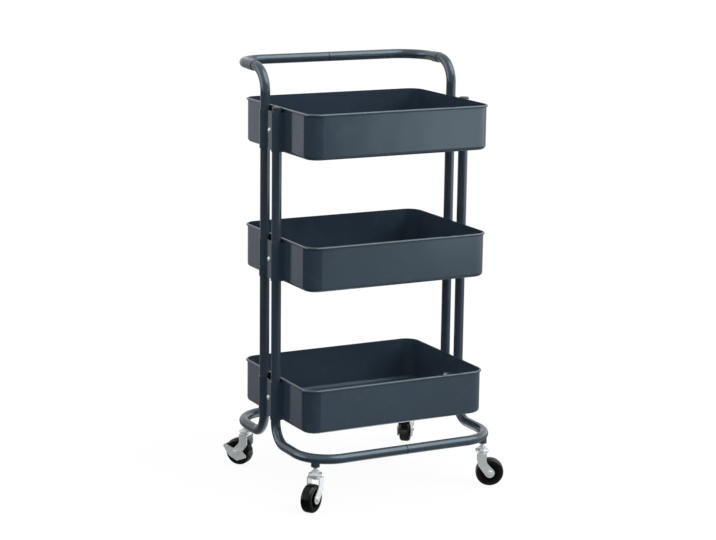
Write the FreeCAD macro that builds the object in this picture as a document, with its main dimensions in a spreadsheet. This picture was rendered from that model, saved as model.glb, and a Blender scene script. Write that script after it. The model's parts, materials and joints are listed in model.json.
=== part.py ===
import FreeCAD, Part
import math
import os
import Sketcher

# Rolling three-tier utility cart in millimetres.
# +Z is up, +X runs along the long side, +Y points to the rear, where the handle is.
# The origin is on the floor, under the middle of the cart.

DOC = FreeCAD.newDocument("utility_cart")

# Driving dimensions
SIZES = {
    # trays
    "tray_length": 400.0,
    "tray_depth": 306.0,
    "tray_height": 89.0,
    "tray_corner": 28.0,
    "tray_base_round": 8.0,
    "tray_sheet": 1.0,
    "rim_overhang": 2.8,
    "rim_height": 4.4,
    "rim_lower": 237.0,
    "rim_middle": 521.0,
    "upper_rim_drop": 71.0,
    "floor_ledge": 18.0,
    "mesh_thickness": 1.0,
    "mesh_margin": 12.0,
    "mesh_strand": 3.0,
    "mesh_column_count": 12.0,
    "mesh_row_count": 9.0,
    # bent tube frame
    "tube_diameter": 19.6,
    "tube_wall": 1.2,
    "post_spacing": 54.0,
    "post_gap": 0.2,
    "front_post_rise": -1.0,
    "base_bar_height": 104.6,
    "front_bar_reach": 187.0,
    "rear_bar_reach": 180.5,
    "base_bend": 42.0,
    "base_corner": 70.0,
    "seam_gap": 1.5,
    "slip_gap": 0.05,
    "sleeve_length": 80.0,
    "sleeve_wall": 1.2,
    # handle
    "handle_height": 849.0,
    "handle_reach": 175.0,
    "handle_bend": 46.0,
    "handle_corner": 62.0,
    "socket_start": 3.0,
    "socket_length": 22.0,
    "socket_wall": 0.95,
    "socket_taper": 3.0,
    # post caps
    "cap_height": 2.5,
    "cap_round": 1.8,
    "cap_spigot": 12.0,
    # clamp plates and their screws
    "clamp_height": 77.0,
    "clamp_drop": 9.0,
    "clamp_sheet": 1.5,
    "clamp_web_offset": 3.0,
    "screw_diameter": 5.9,
    "screw_hole_gap": 0.15,
    "screw_head_diameter": 11.0,
    "screw_head_height": 3.4,
    "screw_tail": 2.0,
    "nut_flats": 10.0,
    "nut_height": 5.0,
    # casters
    "wheel_diameter": 57.0,
    "wheel_width": 22.0,
    "tread_thickness": 8.0,
    "tread_groove_depth": 0.9,
    "tread_groove_width": 1.6,
    "tread_groove_spacing": 7.2,
    "tread_shoulder": 6.0,
    "hub_play": 0.4,
    "hub_barrel_diameter": 15.0,
    "hub_web": 5.0,
    "hub_rim_thickness": 4.0,
    "hub_rim_inset": 1.5,
    "axle_diameter": 6.0,
    "axle_head_diameter": 11.0,
    "axle_head_height": 2.6,
    "caster_trail": 16.0,
    "fork_sheet": 1.8,
    "fork_gap": 1.2,
    "fork_crown_length": 18.5,
    "fork_crown_clear": 9.5,
    "fork_crown_sheet": 2.0,
    "fork_eye_diameter": 20.0,
    "fork_knee_front": 22.0,
    "fork_knee_rear": 18.0,
    "fork_knee_round": 12.0,
    "fork_race_diameter": 23.0,
    "fork_race_height": 2.4,
    "swivel_gap": 0.3,
    "race_diameter": 28.0,
    "race_height": 4.6,
    "race_round": 1.6,
    "kingpin_diameter": 10.0,
    "kingpin_head_diameter": 12.0,
    "kingpin_head_height": 2.5,
    "stem_flats": 13.0,
    "stem_hexagon_height": 5.0,
    "stem_diameter": 8.0,
    "socket_boss_diameter": 18.0,
    "socket_boss_drop": 6.0,
    "stem_hole_gap": 0.1,
    "heading_angle_front_left": -145.0,
    "heading_angle_front_right": -28.0,
    "heading_angle_rear_left": 125.0,
    "heading_angle_rear_right": 54.0,
    # brake levers
    "lever_sheet": 1.5,
    "lever_side_gap": 0.3,
    "lever_tread_gap": 1.5,
    "lever_tip_reach": 32.4,
    "lever_tip_angle": 18.5,
    "lever_spread_angle": 10.0,
    "lever_keel": 17.5,
    "lever_heel": 24.0,
    "lever_round": 1.8,
}

SHEET = DOC.addObject("Spreadsheet::Sheet", "sizes")
for row, (alias, number) in enumerate(SIZES.items(), start=1):
    SHEET.set("A%d" % row, alias)
    SHEET.set("B%d" % row, str(number))
    SHEET.setAlias("B%d" % row, alias)
DOC.recompute()


class Size:
    """A number from the sheet together with the formula that ties it to its cells."""

    def __init__(self, number, formula):
        self.number = number
        self.formula = formula

    def __add__(self, other):
        other = as_size(other)
        return Size(self.number + other.number, "(%s + %s)" % (self.formula, other.formula))

    def __sub__(self, other):
        other = as_size(other)
        return Size(self.number - other.number, "(%s - %s)" % (self.formula, other.formula))

    def __mul__(self, other):
        other = as_size(other)
        return Size(self.number * other.number, "(%s * %s)" % (self.formula, other.formula))

    def __truediv__(self, other):
        other = as_size(other)
        return Size(self.number / other.number, "(%s / %s)" % (self.formula, other.formula))

    def __neg__(self):
        return self * -1

    __radd__ = __add__
    __rmul__ = __mul__


def as_size(entry):
    if isinstance(entry, Size):
        return entry
    return Size(float(entry), "%.9g" % entry)


def size(alias):
    return Size(float(SHEET.get(alias)), "sizes." + alias)


def bind(thing, prop, entry):
    entry = as_size(entry)
    thing.setExpression(prop, entry.formula)


ORIGIN = (0, 0, 0)
X_AXIS = FreeCAD.Vector(1, 0, 0)
Y_AXIS = FreeCAD.Vector(0, 1, 0)
Z_AXIS = FreeCAD.Vector(0, 0, 1)
HALF_TURN = 180.0
QUARTER_TURN = 90.0
FULL_TURN = 360.0
DIAGONAL = math.sqrt(0.5)
NEAR = 0.01

# Sizes that several pieces share
TUBE_RADIUS = size("tube_diameter") / 2
BORE_RADIUS = TUBE_RADIUS - size("tube_wall")
SLIP = size("slip_gap")
POST_X = size("tray_length") / 2 + size("post_gap") + TUBE_RADIUS
POST_Y = size("post_spacing") / 2
BAR_Z = size("base_bar_height")
RIM_UPPER = size("handle_height") - size("upper_rim_drop")
FRONT_POST_TOP = RIM_UPPER + size("front_post_rise")
SOCKET_Y = POST_Y + size("handle_bend") + size("socket_start")
CASTER_X = POST_X - size("base_corner") * (1 - DIAGONAL)
SCREW_RADIUS = size("screw_diameter") / 2
SCREW_HOLE = SCREW_RADIUS + size("screw_hole_gap")
CLAMP_MIDDLE = size("clamp_drop") + size("clamp_height") / 2
WHEEL_RADIUS = size("wheel_diameter") / 2
AXLE_Z = WHEEL_RADIUS
AXLE_RADIUS = size("axle_diameter") / 2
TRAIL = size("caster_trail")
HUB_HALF = size("wheel_width") / 2 + size("fork_gap") - size("hub_play")
FORK_INNER = size("wheel_width") / 2 + size("fork_gap")
FORK_OUTER = FORK_INNER + size("fork_sheet")
CROWN_UNDERSIDE = size("wheel_diameter") + size("fork_crown_clear")
CROWN_TOP = CROWN_UNDERSIDE + size("fork_crown_sheet")
FORK_RACE_TOP = CROWN_TOP + size("fork_race_height")
RACE_BOTTOM = FORK_RACE_TOP + size("swivel_gap")
RACE_TOP = RACE_BOTTOM + size("race_height")
STEM_RADIUS = size("stem_diameter") / 2
BOSS_BOTTOM = BAR_Z - TUBE_RADIUS - size("socket_boss_drop")
MESH_INSET = size("tray_base_round") + size("post_gap")
MESH_CORNER = size("tray_corner") - MESH_INSET

# Rounds as a share of the height they sit on
RIM_ROLL = 0.48
SCREW_DOME = 0.8
AXLE_HEAD_ROUND = 0.6

NODES = []


# Sketch and feature helpers


def new_body(label):
    body = DOC.addObject("PartDesign::Body", label)
    body.Label = label
    NODES.append(body)
    return body


def new_sketch(body, name, origin=ORIGIN, across=X_AXIS, normal=Z_AXIS):
    """A sketch on the body's base plane, moved to origin and turned to face normal."""
    sketch = body.newObject("Sketcher::SketchObject", name)
    plane = next(f for f in body.Origin.OriginFeatures if f.Role == "XY_Plane")
    sketch.AttachmentSupport = [(plane, "")]
    sketch.MapMode = "FlatFace"
    turn = FreeCAD.Rotation(across, normal.cross(across), normal, "ZXY")
    spot = FreeCAD.Vector(*[as_size(entry).number for entry in origin])
    sketch.AttachmentOffset = FreeCAD.Placement(spot, turn)
    for letter, entry in zip("xyz", origin):
        if isinstance(entry, Size):
            bind(sketch, "AttachmentOffset.Base." + letter, entry)
    return sketch


def constrain(sketch, *terms):
    return sketch.addConstraint(Sketcher.Constraint(*terms))


def dimension(sketch, kind, *terms):
    """A dimension whose last term is its size, tied to the sheet."""
    entry = as_size(terms[-1])
    index = constrain(sketch, kind, *terms[:-1], entry.number)
    sketch.setExpression("Constraints[%d]" % index, entry.formula)


def place_point(sketch, geometry, end, across, up):
    """Holds one point of the sketch at a distance across and up from its origin."""
    for kind, axis, entry in (("DistanceX", -2, across), ("DistanceY", -1, up)):
        if as_size(entry).number == 0:
            constrain(sketch, "PointOnObject", geometry, end, axis)
        else:
            dimension(sketch, kind, -1, 1, geometry, end, entry)


def add_circle(sketch, across, up, radius):
    centre = FreeCAD.Vector(as_size(across).number, as_size(up).number, 0)
    index = sketch.addGeometry(Part.Circle(centre, Z_AXIS, as_size(radius).number), False)
    dimension(sketch, "Radius", index, radius)
    place_point(sketch, index, 3, across, up)


def add_outline(sketch, corners):
    """A closed outline of straight lines, each corner held from the sketch's origin."""
    spots = [FreeCAD.Vector(as_size(u).number, as_size(v).number, 0) for u, v in corners]
    lines = []
    for start, end in zip(spots, spots[1:] + spots[:1]):
        lines.append(sketch.addGeometry(Part.LineSegment(start, end), False))
    for line, following in zip(lines, lines[1:] + lines[:1]):
        constrain(sketch, "Coincident", line, 2, following, 1)
    for line, (across, up) in zip(lines, corners):
        place_point(sketch, line, 1, across, up)


def add_rounded_rectangle(sketch, length, depth, radius):
    """A rectangle centred on the sketch's origin, with its four corners rounded."""
    half = as_size(length).number / 2
    rise = as_size(depth).number / 2
    bend = as_size(radius).number
    lines = []
    arcs = []
    for quarter in range(4):
        angle = math.radians(QUARTER_TURN * quarter)
        turned = FreeCAD.Rotation(Z_AXIS, QUARTER_TURN * quarter)
        reach, side = (half, rise) if quarter % 2 == 0 else (rise, half)
        start = turned.multVec(FreeCAD.Vector(reach, bend - side, 0))
        end = turned.multVec(FreeCAD.Vector(reach, side - bend, 0))
        centre = turned.multVec(FreeCAD.Vector(reach - bend, side - bend, 0))
        circle = Part.Circle(centre, Z_AXIS, bend)
        lines.append(sketch.addGeometry(Part.LineSegment(start, end), False))
        arc = Part.ArcOfCircle(circle, angle, angle + math.pi / 2)
        arcs.append(sketch.addGeometry(arc, False))
    for quarter in range(4):
        constrain(sketch, "Tangent", lines[quarter], 2, arcs[quarter], 1)
        constrain(sketch, "Tangent", arcs[quarter], 2, lines[(quarter + 1) % 4], 1)
    for quarter in (0, 2):
        constrain(sketch, "Vertical", lines[quarter])
        constrain(sketch, "Horizontal", lines[quarter + 1])
    for quarter in range(1, 4):
        constrain(sketch, "Equal", arcs[0], arcs[quarter])
    dimension(sketch, "Radius", arcs[0], radius)
    dimension(sketch, "DistanceX", -1, 1, lines[0], 1, length / 2)
    dimension(sketch, "DistanceX", lines[2], 1, -1, 1, length / 2)
    dimension(sketch, "DistanceY", -1, 1, lines[1], 1, depth / 2)
    dimension(sketch, "DistanceY", lines[3], 1, -1, 1, depth / 2)


def add_pad(body, sketch, length):
    pad = body.newObject("PartDesign::Pad", sketch.Name + "_pad")
    pad.Profile = sketch
    bind(pad, "Length", length)
    DOC.recompute()
    return pad


def add_pocket(body, sketch, length):
    """A cut that runs against the sketch's normal and has to take material away."""
    before = body.Shape.Volume
    pocket = body.newObject("PartDesign::Pocket", sketch.Name + "_pocket")
    pocket.Profile = sketch
    bind(pocket, "Length", length)
    DOC.recompute()
    if not body.Shape.Volume < before:
        raise RuntimeError(sketch.Name + " cuts nothing")
    return pocket


def add_revolution(body, sketch, axis, angle=FULL_TURN, reverse=False):
    turned = body.newObject("PartDesign::Revolution", sketch.Name + "_turned")
    turned.Profile = sketch
    turned.ReferenceAxis = (sketch, [axis])
    turned.Angle = angle
    turned.Reversed = reverse
    DOC.recompute()
    return turned


def add_fillet(body, name, radius, chosen):
    """Rounds the edges of the body's last feature that the test accepts."""
    base = body.Tip
    edges = base.Shape.Edges
    names = ["Edge%d" % (i + 1) for i, edge in enumerate(edges) if chosen(edge)]
    fillet = body.newObject("PartDesign::Fillet", name)
    fillet.Base = (base, names)
    bind(fillet, "Radius", radius)
    DOC.recompute()
    return fillet


def lies_at_height(height):
    """A test for edges that lie flat at one height."""
    level = as_size(height).number
    return lambda edge: (
        abs(edge.BoundBox.ZMin - level) < NEAR and abs(edge.BoundBox.ZMax - level) < NEAR
    )


# Bent tubes: straight runs are padded rings, bends are rings turned a quarter


def tube_ring(sketch, across, outer, inner):
    add_circle(sketch, across, 0, outer)
    add_circle(sketch, across, 0, inner)


def shifted(point, direction, length):
    return tuple(
        entry + length * direction[i] if direction[i] else entry for i, entry in enumerate(point)
    )


def across_of(direction):
    return X_AXIS if abs(direction.x) < NEAR else Y_AXIS


def bend_tube(body, start, heading, steps):
    """Makes a tube from start: a step is a run's length, or a bend's radius and new heading."""
    spot = start
    for number, step in enumerate(steps):
        name = "%s_step%d" % (body.Name, number)
        if isinstance(step, tuple):
            radius, onward = step
            centre = shifted(spot, onward, radius)
            sketch = new_sketch(body, name, centre, -onward, heading)
            tube_ring(sketch, radius, TUBE_RADIUS, BORE_RADIUS)
            add_revolution(body, sketch, "V_Axis", QUARTER_TURN, True)
            spot = shifted(centre, heading, radius)
            heading = onward
        else:
            sketch = new_sketch(body, name, spot, across_of(heading), heading)
            tube_ring(sketch, 0, TUBE_RADIUS, BORE_RADIUS)
            add_pad(body, sketch, step)
            spot = shifted(spot, heading, step)


def bar_reach(end):
    """How far the base bar stands from the middle: the rear loop is the shorter one."""
    return size("rear_bar_reach") if end > 0 else size("front_bar_reach")


def caster_y(end):
    """Where the stems stand: under the middle of the base corners."""
    return (bar_reach(end) - size("base_corner") * (1 - DIAGONAL)) * end


def drill_stem_hole(body, side, end):
    """The hole in the underside of the base corner that lets the caster's stem in."""
    spot = (CASTER_X * side, caster_y(end), BAR_Z)
    sketch = new_sketch(body, body.Name + "_stem_hole", spot)
    add_circle(sketch, 0, 0, STEM_RADIUS + size("stem_hole_gap"))
    add_pocket(body, sketch, TUBE_RADIUS * 2)


def base_steps(side, end):
    """Bend, side run, corner and half bar, from a post's foot to the middle of the base."""
    outward = Y_AXIS * end
    inward = X_AXIS * -side
    side_run = bar_reach(end) - POST_Y - size("base_bend") - size("base_corner")
    half_bar = POST_X - size("base_corner") - size("seam_gap") / 2
    return [
        (size("base_bend"), outward),
        side_run,
        (size("base_corner"), inward),
        half_bar,
    ]


def front_frame_tube(label, side):
    body = new_body(label)
    post = FRONT_POST_TOP - BAR_Z - size("base_bend")
    start = (POST_X * side, -POST_Y, FRONT_POST_TOP)
    bend_tube(body, start, -Z_AXIS, [post] + base_steps(side, -1))
    drill_stem_hole(body, side, -1)


def rear_frame_tube(label, side):
    """The rear tube starts inside the handle's socket, bends down and becomes the post."""
    body = new_body(label)
    lead = size("socket_start") + size("socket_length")
    post = size("handle_height") - size("handle_bend") - BAR_Z - size("base_bend")
    start = (POST_X * side, SOCKET_Y + size("socket_length"), size("handle_height"))
    steps = [lead, (size("handle_bend"), -Z_AXIS), post] + base_steps(side, 1)
    bend_tube(body, start, -Y_AXIS, steps)
    drill_stem_hole(body, side, 1)


def handle_half(label, side):
    """Half of the handle: an expanded socket over the post's end, a corner and half the bar."""
    body = new_body(label)
    end = SOCKET_Y + size("socket_length")
    taper_end = end + size("socket_taper")
    outer = TUBE_RADIUS + SLIP + size("socket_wall")
    inner = TUBE_RADIUS + SLIP
    axis = (POST_X * side, 0, size("handle_height"))
    sketch = new_sketch(body, body.Name + "_socket", axis, Y_AXIS, X_AXIS)
    profile = [
        (SOCKET_Y, inner),
        (SOCKET_Y, outer),
        (end, outer),
        (taper_end, TUBE_RADIUS),
        (taper_end, BORE_RADIUS),
        (end + SLIP, inner),
    ]
    add_outline(sketch, profile)
    add_revolution(body, sketch, "H_Axis")
    start = (POST_X * side, taper_end, size("handle_height"))
    arm = size("handle_reach") - size("handle_corner") - taper_end
    half_bar = POST_X - size("handle_corner") - size("seam_gap") / 2
    steps = [arm, (size("handle_corner"), X_AXIS * -side), half_bar]
    bend_tube(body, start, Y_AXIS, steps)


def joint_sleeve(label, reach, height):
    """A sleeve inside a bar's centre seam, slipped into both halves."""
    body = new_body(label)
    outer = BORE_RADIUS - SLIP
    spot = (-size("sleeve_length") / 2, reach, height)
    sketch = new_sketch(body, body.Name + "_ring", spot, Y_AXIS, X_AXIS)
    tube_ring(sketch, 0, outer, outer - size("sleeve_wall"))
    add_pad(body, sketch, size("sleeve_length"))


def post_cap(label, side):
    """A plug in the open top of a front post, with a rounded head."""
    body = new_body(label)
    spot = (POST_X * side, -POST_Y, FRONT_POST_TOP)
    sketch = new_sketch(body, body.Name + "_half", spot, X_AXIS, -Y_AXIS)
    spigot = BORE_RADIUS - SLIP
    profile = [
        (0, -size("cap_spigot")),
        (spigot, -size("cap_spigot")),
        (spigot, 0),
        (TUBE_RADIUS, 0),
        (TUBE_RADIUS, size("cap_height")),
        (0, size("cap_height")),
    ]
    add_outline(sketch, profile)
    add_revolution(body, sketch, "V_Axis")
    crown = FRONT_POST_TOP + size("cap_height")
    add_fillet(body, body.Name + "_round", size("cap_round"), lies_at_height(crown))


# Trays


def tray_shell(label, rim):
    """A pressed sheet tray: rounded base edge, outward rolled rim, ledge for the mesh floor."""
    body = new_body(label)
    sheet = size("tray_sheet")
    length = size("tray_length")
    depth = size("tray_depth")
    corner = size("tray_corner")
    overhang = size("rim_overhang")
    base = rim - size("tray_height")

    sketch = new_sketch(body, label + "_outside", (0, 0, base))
    add_rounded_rectangle(sketch, length, depth, corner)
    add_pad(body, sketch, size("tray_height"))

    sketch = new_sketch(body, label + "_rim", (0, 0, rim - size("rim_height")))
    add_rounded_rectangle(sketch, length + overhang * 2, depth + overhang * 2, corner + overhang)
    add_pad(body, sketch, size("rim_height"))
    reach = (length / 2 + overhang).number - NEAR
    side = (depth / 2 + overhang).number - NEAR

    def on_rim(edge):
        box = edge.BoundBox
        outermost = max(box.XMax, -box.XMin) > reach or max(box.YMax, -box.YMin) > side
        return outermost and box.ZLength < NEAR

    add_fillet(body, label + "_rim_roll", size("rim_height") * RIM_ROLL, on_rim)

    sketch = new_sketch(body, label + "_inside", (0, 0, rim))
    add_rounded_rectangle(sketch, length - sheet * 2, depth - sheet * 2, corner - sheet)
    add_pocket(body, sketch, size("tray_height") - sheet)
    floor = base + sheet
    add_fillet(body, label + "_inner_round", size("tray_base_round") - sheet, lies_at_height(floor))
    add_fillet(body, label + "_base_round", size("tray_base_round"), lies_at_height(base))

    ledge = size("floor_ledge")
    sketch = new_sketch(body, label + "_floor_opening", (0, 0, floor))
    opening_corner = MESH_CORNER - (ledge - MESH_INSET)
    add_rounded_rectangle(sketch, length - ledge * 2, depth - ledge * 2, opening_corner)
    add_pocket(body, sketch, sheet * 2)

    sketch = new_sketch(body, label + "_post_notches", (0, 0, rim))
    for side in (-1, 1):
        for end in (-1, 1):
            add_circle(sketch, POST_X * side, POST_Y * end, TUBE_RADIUS + size("post_gap") / 2)
    add_pocket(body, sketch, size("rim_height"))

    spot = (POST_X, 0, rim - CLAMP_MIDDLE)
    sketch = new_sketch(body, label + "_screw_holes", spot, Y_AXIS, X_AXIS)
    add_circle(sketch, 0, 0, SCREW_HOLE)
    add_pocket(body, sketch, POST_X * 2)


def rounded_face_wire(length, depth, radius, height):
    """A rounded rectangle as a wire, for the mesh floor's edge."""
    edges = []
    for quarter in range(4):
        turned = FreeCAD.Rotation(Z_AXIS, QUARTER_TURN * quarter)
        reach, side = (length / 2, depth / 2) if quarter % 2 == 0 else (depth / 2, length / 2)
        start = turned.multVec(FreeCAD.Vector(reach, radius - side, 0))
        end = turned.multVec(FreeCAD.Vector(reach, side - radius, 0))
        bulge = radius * (1 - DIAGONAL)
        middle = turned.multVec(FreeCAD.Vector(reach - bulge, side - bulge, 0))
        finish = turned.multVec(FreeCAD.Vector(reach - radius, side, 0))
        lift = FreeCAD.Vector(0, 0, height)
        edges.append(Part.LineSegment(start + lift, end + lift).toShape())
        edges.append(Part.Arc(end + lift, middle + lift, finish + lift).toShape())
    return Part.Wire(edges)


def mesh_floor(label, rim):
    """An expanded-metal floor panel on the tray's ledge: staggered rows of diamond openings."""
    length = (size("tray_length") - MESH_INSET * 2).number
    depth = (size("tray_depth") - MESH_INSET * 2).number
    margin = size("mesh_margin").number
    strand = size("mesh_strand").number
    columns = int(round(size("mesh_column_count").number))
    rows = int(round(size("mesh_row_count").number))
    height = (rim - size("tray_height") + size("tray_sheet")).number
    pitch = (length - margin * 2) / columns
    rise = (depth - margin * 2) / (rows + 1) * 2
    half_width = pitch / 2 - strand / 2
    half_height = rise / 2 - strand / 2
    wires = [rounded_face_wire(length, depth, MESH_CORNER.number, height)]
    for row in range(rows):
        staggered = row % 2
        up = (row - (rows - 1) / 2) * rise / 2
        for column in range(columns - staggered):
            across = (column - (columns - staggered - 1) / 2) * pitch
            middle = FreeCAD.Vector(across, up, height)
            corners = [
                middle + X_AXIS * half_width,
                middle + Y_AXIS * half_height,
                middle - X_AXIS * half_width,
                middle - Y_AXIS * half_height,
            ]
            wires.append(Part.makePolygon(corners + corners[:1]))
    sheet = Part.Face(wires[:1])
    openings = Part.makeCompound([Part.Face(wire) for wire in wires[1:]])
    panel = DOC.addObject("Part::Feature", label)
    panel.Label = label
    thickness = FreeCAD.Vector(0, 0, size("mesh_thickness").number)
    panel.Shape = sheet.cut(openings).Faces[0].extrude(thickness)
    panel.Placement = FreeCAD.Placement()
    NODES.append(panel)


# Clamp plates, screws and nuts; u runs outward from the tray's end wall


def clamp_placement(side, height):
    spot = FreeCAD.Vector((size("tray_length") / 2).number * side, 0, height.number)
    return FreeCAD.Placement(spot, FreeCAD.Rotation(Z_AXIS, 0 if side > 0 else HALF_TURN))


def clamp_plate(label, side, rim):
    """A strip pressed round both posts, with a flat web between them for the screw."""
    body = new_body(label)
    post_u = size("post_gap") + TUBE_RADIUS
    inner = TUBE_RADIUS + SLIP
    outer = inner + size("clamp_sheet")
    web = post_u + size("clamp_web_offset")
    web_inner = web - size("clamp_sheet")
    sketch = new_sketch(body, label + "_half")

    def arc_end(radius, level):
        """The point inside the post's arc that lies level with the web's face."""
        rise = (level - post_u).number
        return POST_Y.number - math.sqrt(radius.number ** 2 - rise ** 2)

    centre = FreeCAD.Vector(post_u.number, POST_Y.number, 0)
    outer_foot = FreeCAD.Vector(web.number, arc_end(outer, web), 0)
    inner_foot = FreeCAD.Vector(web_inner.number, arc_end(inner, web_inner), 0)
    top_outer = centre + Y_AXIS * outer.number
    top_inner = centre + Y_AXIS * inner.number
    wall_outer = FreeCAD.Vector(0, top_outer.y, 0)
    wall_inner = FreeCAD.Vector(0, top_inner.y, 0)
    web_outer_end = FreeCAD.Vector(web.number, 0, 0)
    web_inner_end = FreeCAD.Vector(web_inner.number, 0, 0)

    def arc(radius, foot):
        start = math.atan2(foot.y - centre.y, foot.x - centre.x)
        return Part.ArcOfCircle(Part.Circle(centre, Z_AXIS, radius.number), start, math.pi / 2)

    flank_outer = sketch.addGeometry(Part.LineSegment(wall_outer, top_outer), False)
    bend_outer = sketch.addGeometry(arc(outer, outer_foot), False)
    web_outer = sketch.addGeometry(Part.LineSegment(outer_foot, web_outer_end), False)
    cut = sketch.addGeometry(Part.LineSegment(web_outer_end, web_inner_end), False)
    web_back = sketch.addGeometry(Part.LineSegment(web_inner_end, inner_foot), False)
    bend_inner = sketch.addGeometry(arc(inner, inner_foot), False)
    flank_inner = sketch.addGeometry(Part.LineSegment(top_inner, wall_inner), False)
    edge = sketch.addGeometry(Part.LineSegment(wall_inner, wall_outer), False)

    constrain(sketch, "Tangent", flank_outer, 2, bend_outer, 2)
    constrain(sketch, "Coincident", bend_outer, 1, web_outer, 1)
    constrain(sketch, "Coincident", web_outer, 2, cut, 1)
    constrain(sketch, "Coincident", cut, 2, web_back, 1)
    constrain(sketch, "Coincident", web_back, 2, bend_inner, 1)
    constrain(sketch, "Tangent", bend_inner, 2, flank_inner, 1)
    constrain(sketch, "Coincident", flank_inner, 2, edge, 1)
    constrain(sketch, "Coincident", edge, 2, flank_outer, 1)
    for line in (flank_outer, cut, flank_inner):
        constrain(sketch, "Horizontal", line)
    for line in (web_outer, web_back, edge):
        constrain(sketch, "Vertical", line)
    constrain(sketch, "Coincident", bend_inner, 3, bend_outer, 3)
    place_point(sketch, bend_outer, 3, post_u, POST_Y)
    dimension(sketch, "Radius", bend_outer, outer)
    dimension(sketch, "Radius", bend_inner, inner)
    constrain(sketch, "PointOnObject", edge, 1, -2)
    place_point(sketch, cut, 1, web, 0)
    dimension(sketch, "DistanceX", -1, 1, cut, 2, web_inner)

    pad = add_pad(body, sketch, size("clamp_height"))
    mirrored = body.newObject("PartDesign::Mirrored", label + "_whole")
    mirrored.Originals = [pad]
    mirrored.MirrorPlane = (sketch, ["H_Axis"])
    body.Tip = mirrored
    DOC.recompute()

    spot = (web + size("clamp_sheet"), 0, size("clamp_height") / 2)
    hole = new_sketch(body, label + "_screw_hole", spot, Y_AXIS, X_AXIS)
    add_circle(hole, 0, 0, SCREW_HOLE)
    add_pocket(body, hole, size("clamp_sheet") * 3)
    height = rim - size("clamp_drop") - size("clamp_height")
    body.Placement = clamp_placement(side, height)


def screw_master():
    """A pan-head screw along u, its head on the clamp's web."""
    body = DOC.addObject("PartDesign::Body", "screw_master")
    web = size("post_gap") + TUBE_RADIUS + size("clamp_web_offset")
    head = size("screw_head_diameter") / 2
    tail = -(size("tray_sheet") + size("nut_height") + size("screw_tail"))
    sketch = new_sketch(body, "screw_half", ORIGIN, X_AXIS, -Y_AXIS)
    profile = [
        (tail, 0),
        (tail, SCREW_RADIUS),
        (web, SCREW_RADIUS),
        (web, head),
        (web + size("screw_head_height"), head),
        (web + size("screw_head_height"), 0),
    ]
    add_outline(sketch, profile)
    add_revolution(body, sketch, "H_Axis")
    face = (web + size("screw_head_height")).number
    rounded = size("screw_head_height") * SCREW_DOME
    add_fillet(body, "screw_dome", rounded, lambda edge: edge.BoundBox.XMin > face - NEAR)
    return body


def add_hexagon(sketch, flats):
    """A hexagon centred on the sketch's origin, measured across its flats."""
    side = flats / 2 * math.tan(math.radians(30))
    point = flats / 2 / math.cos(math.radians(30))
    corners = [
        (point, 0),
        (side, flats / 2),
        (-side, flats / 2),
        (-point, 0),
        (-side, -flats / 2),
        (side, -flats / 2),
    ]
    add_outline(sketch, corners)


def nut_master():
    """The screw's hexagon nut, seated on the inside of the tray's wall."""
    body = DOC.addObject("PartDesign::Body", "nut_master")
    spot = (-(size("tray_sheet") + size("nut_height")), 0, 0)
    sketch = new_sketch(body, "nut_hexagon", spot, Y_AXIS, X_AXIS)
    add_hexagon(sketch, size("nut_flats"))
    add_circle(sketch, 0, 0, SCREW_RADIUS + SLIP)
    add_pad(body, sketch, size("nut_height"))
    return body


def fastener_group(label, master):
    """Copies of one fastener at every clamp, kept in one node."""
    copies = []
    for rim in RIMS.values():
        for side in (-1, 1):
            copy = master.Shape.copy()
            copy.Placement = clamp_placement(side, rim - CLAMP_MIDDLE)
            copies.append(copy)
    group = DOC.addObject("Part::Feature", label)
    group.Label = label
    group.Shape = Part.makeCompound(copies)
    group.Placement = FreeCAD.Placement()
    NODES.append(group)


# Casters: local x is the trailing direction, the stem is on the local z axis


def caster_placement(corner):
    side, end, heading = corner
    spot = FreeCAD.Vector((CASTER_X * side).number, caster_y(end).number, 0)
    return FreeCAD.Placement(spot, FreeCAD.Rotation(Z_AXIS, heading))


def caster_socket(label, corner):
    """A threaded boss under the base corner, saddled to the tube."""
    side, end, heading = corner
    radius = size("socket_boss_diameter") / 2
    spot = (CASTER_X * side, caster_y(end), BOSS_BOTTOM)

    def post(name, wide):
        cylinder = DOC.addObject("Part::Cylinder", name)
        bind(cylinder, "Radius", wide)
        bind(cylinder, "Height", BAR_Z - BOSS_BOTTOM)
        for letter, entry in zip("xyz", spot):
            bind(cylinder, "Placement.Base." + letter, entry)
        return cylinder

    tube = DOC.addObject("Part::Torus", label + "_saddle")
    bind(tube, "Radius1", size("base_corner"))
    bind(tube, "Radius2", TUBE_RADIUS + SLIP)
    bind(tube, "Placement.Base.x", (POST_X - size("base_corner")) * side)
    bind(tube, "Placement.Base.y", (bar_reach(end) - size("base_corner")) * end)
    bind(tube, "Placement.Base.z", BAR_Z)
    saddled = DOC.addObject("Part::Cut", label + "_saddled")
    saddled.Base = post(label + "_post", radius)
    saddled.Tool = tube
    bored = DOC.addObject("Part::Cut", label)
    bored.Label = label
    bored.Base = saddled
    bored.Tool = post(label + "_bore", STEM_RADIUS + SLIP)
    DOC.recompute()
    NODES.append(bored)


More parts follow.
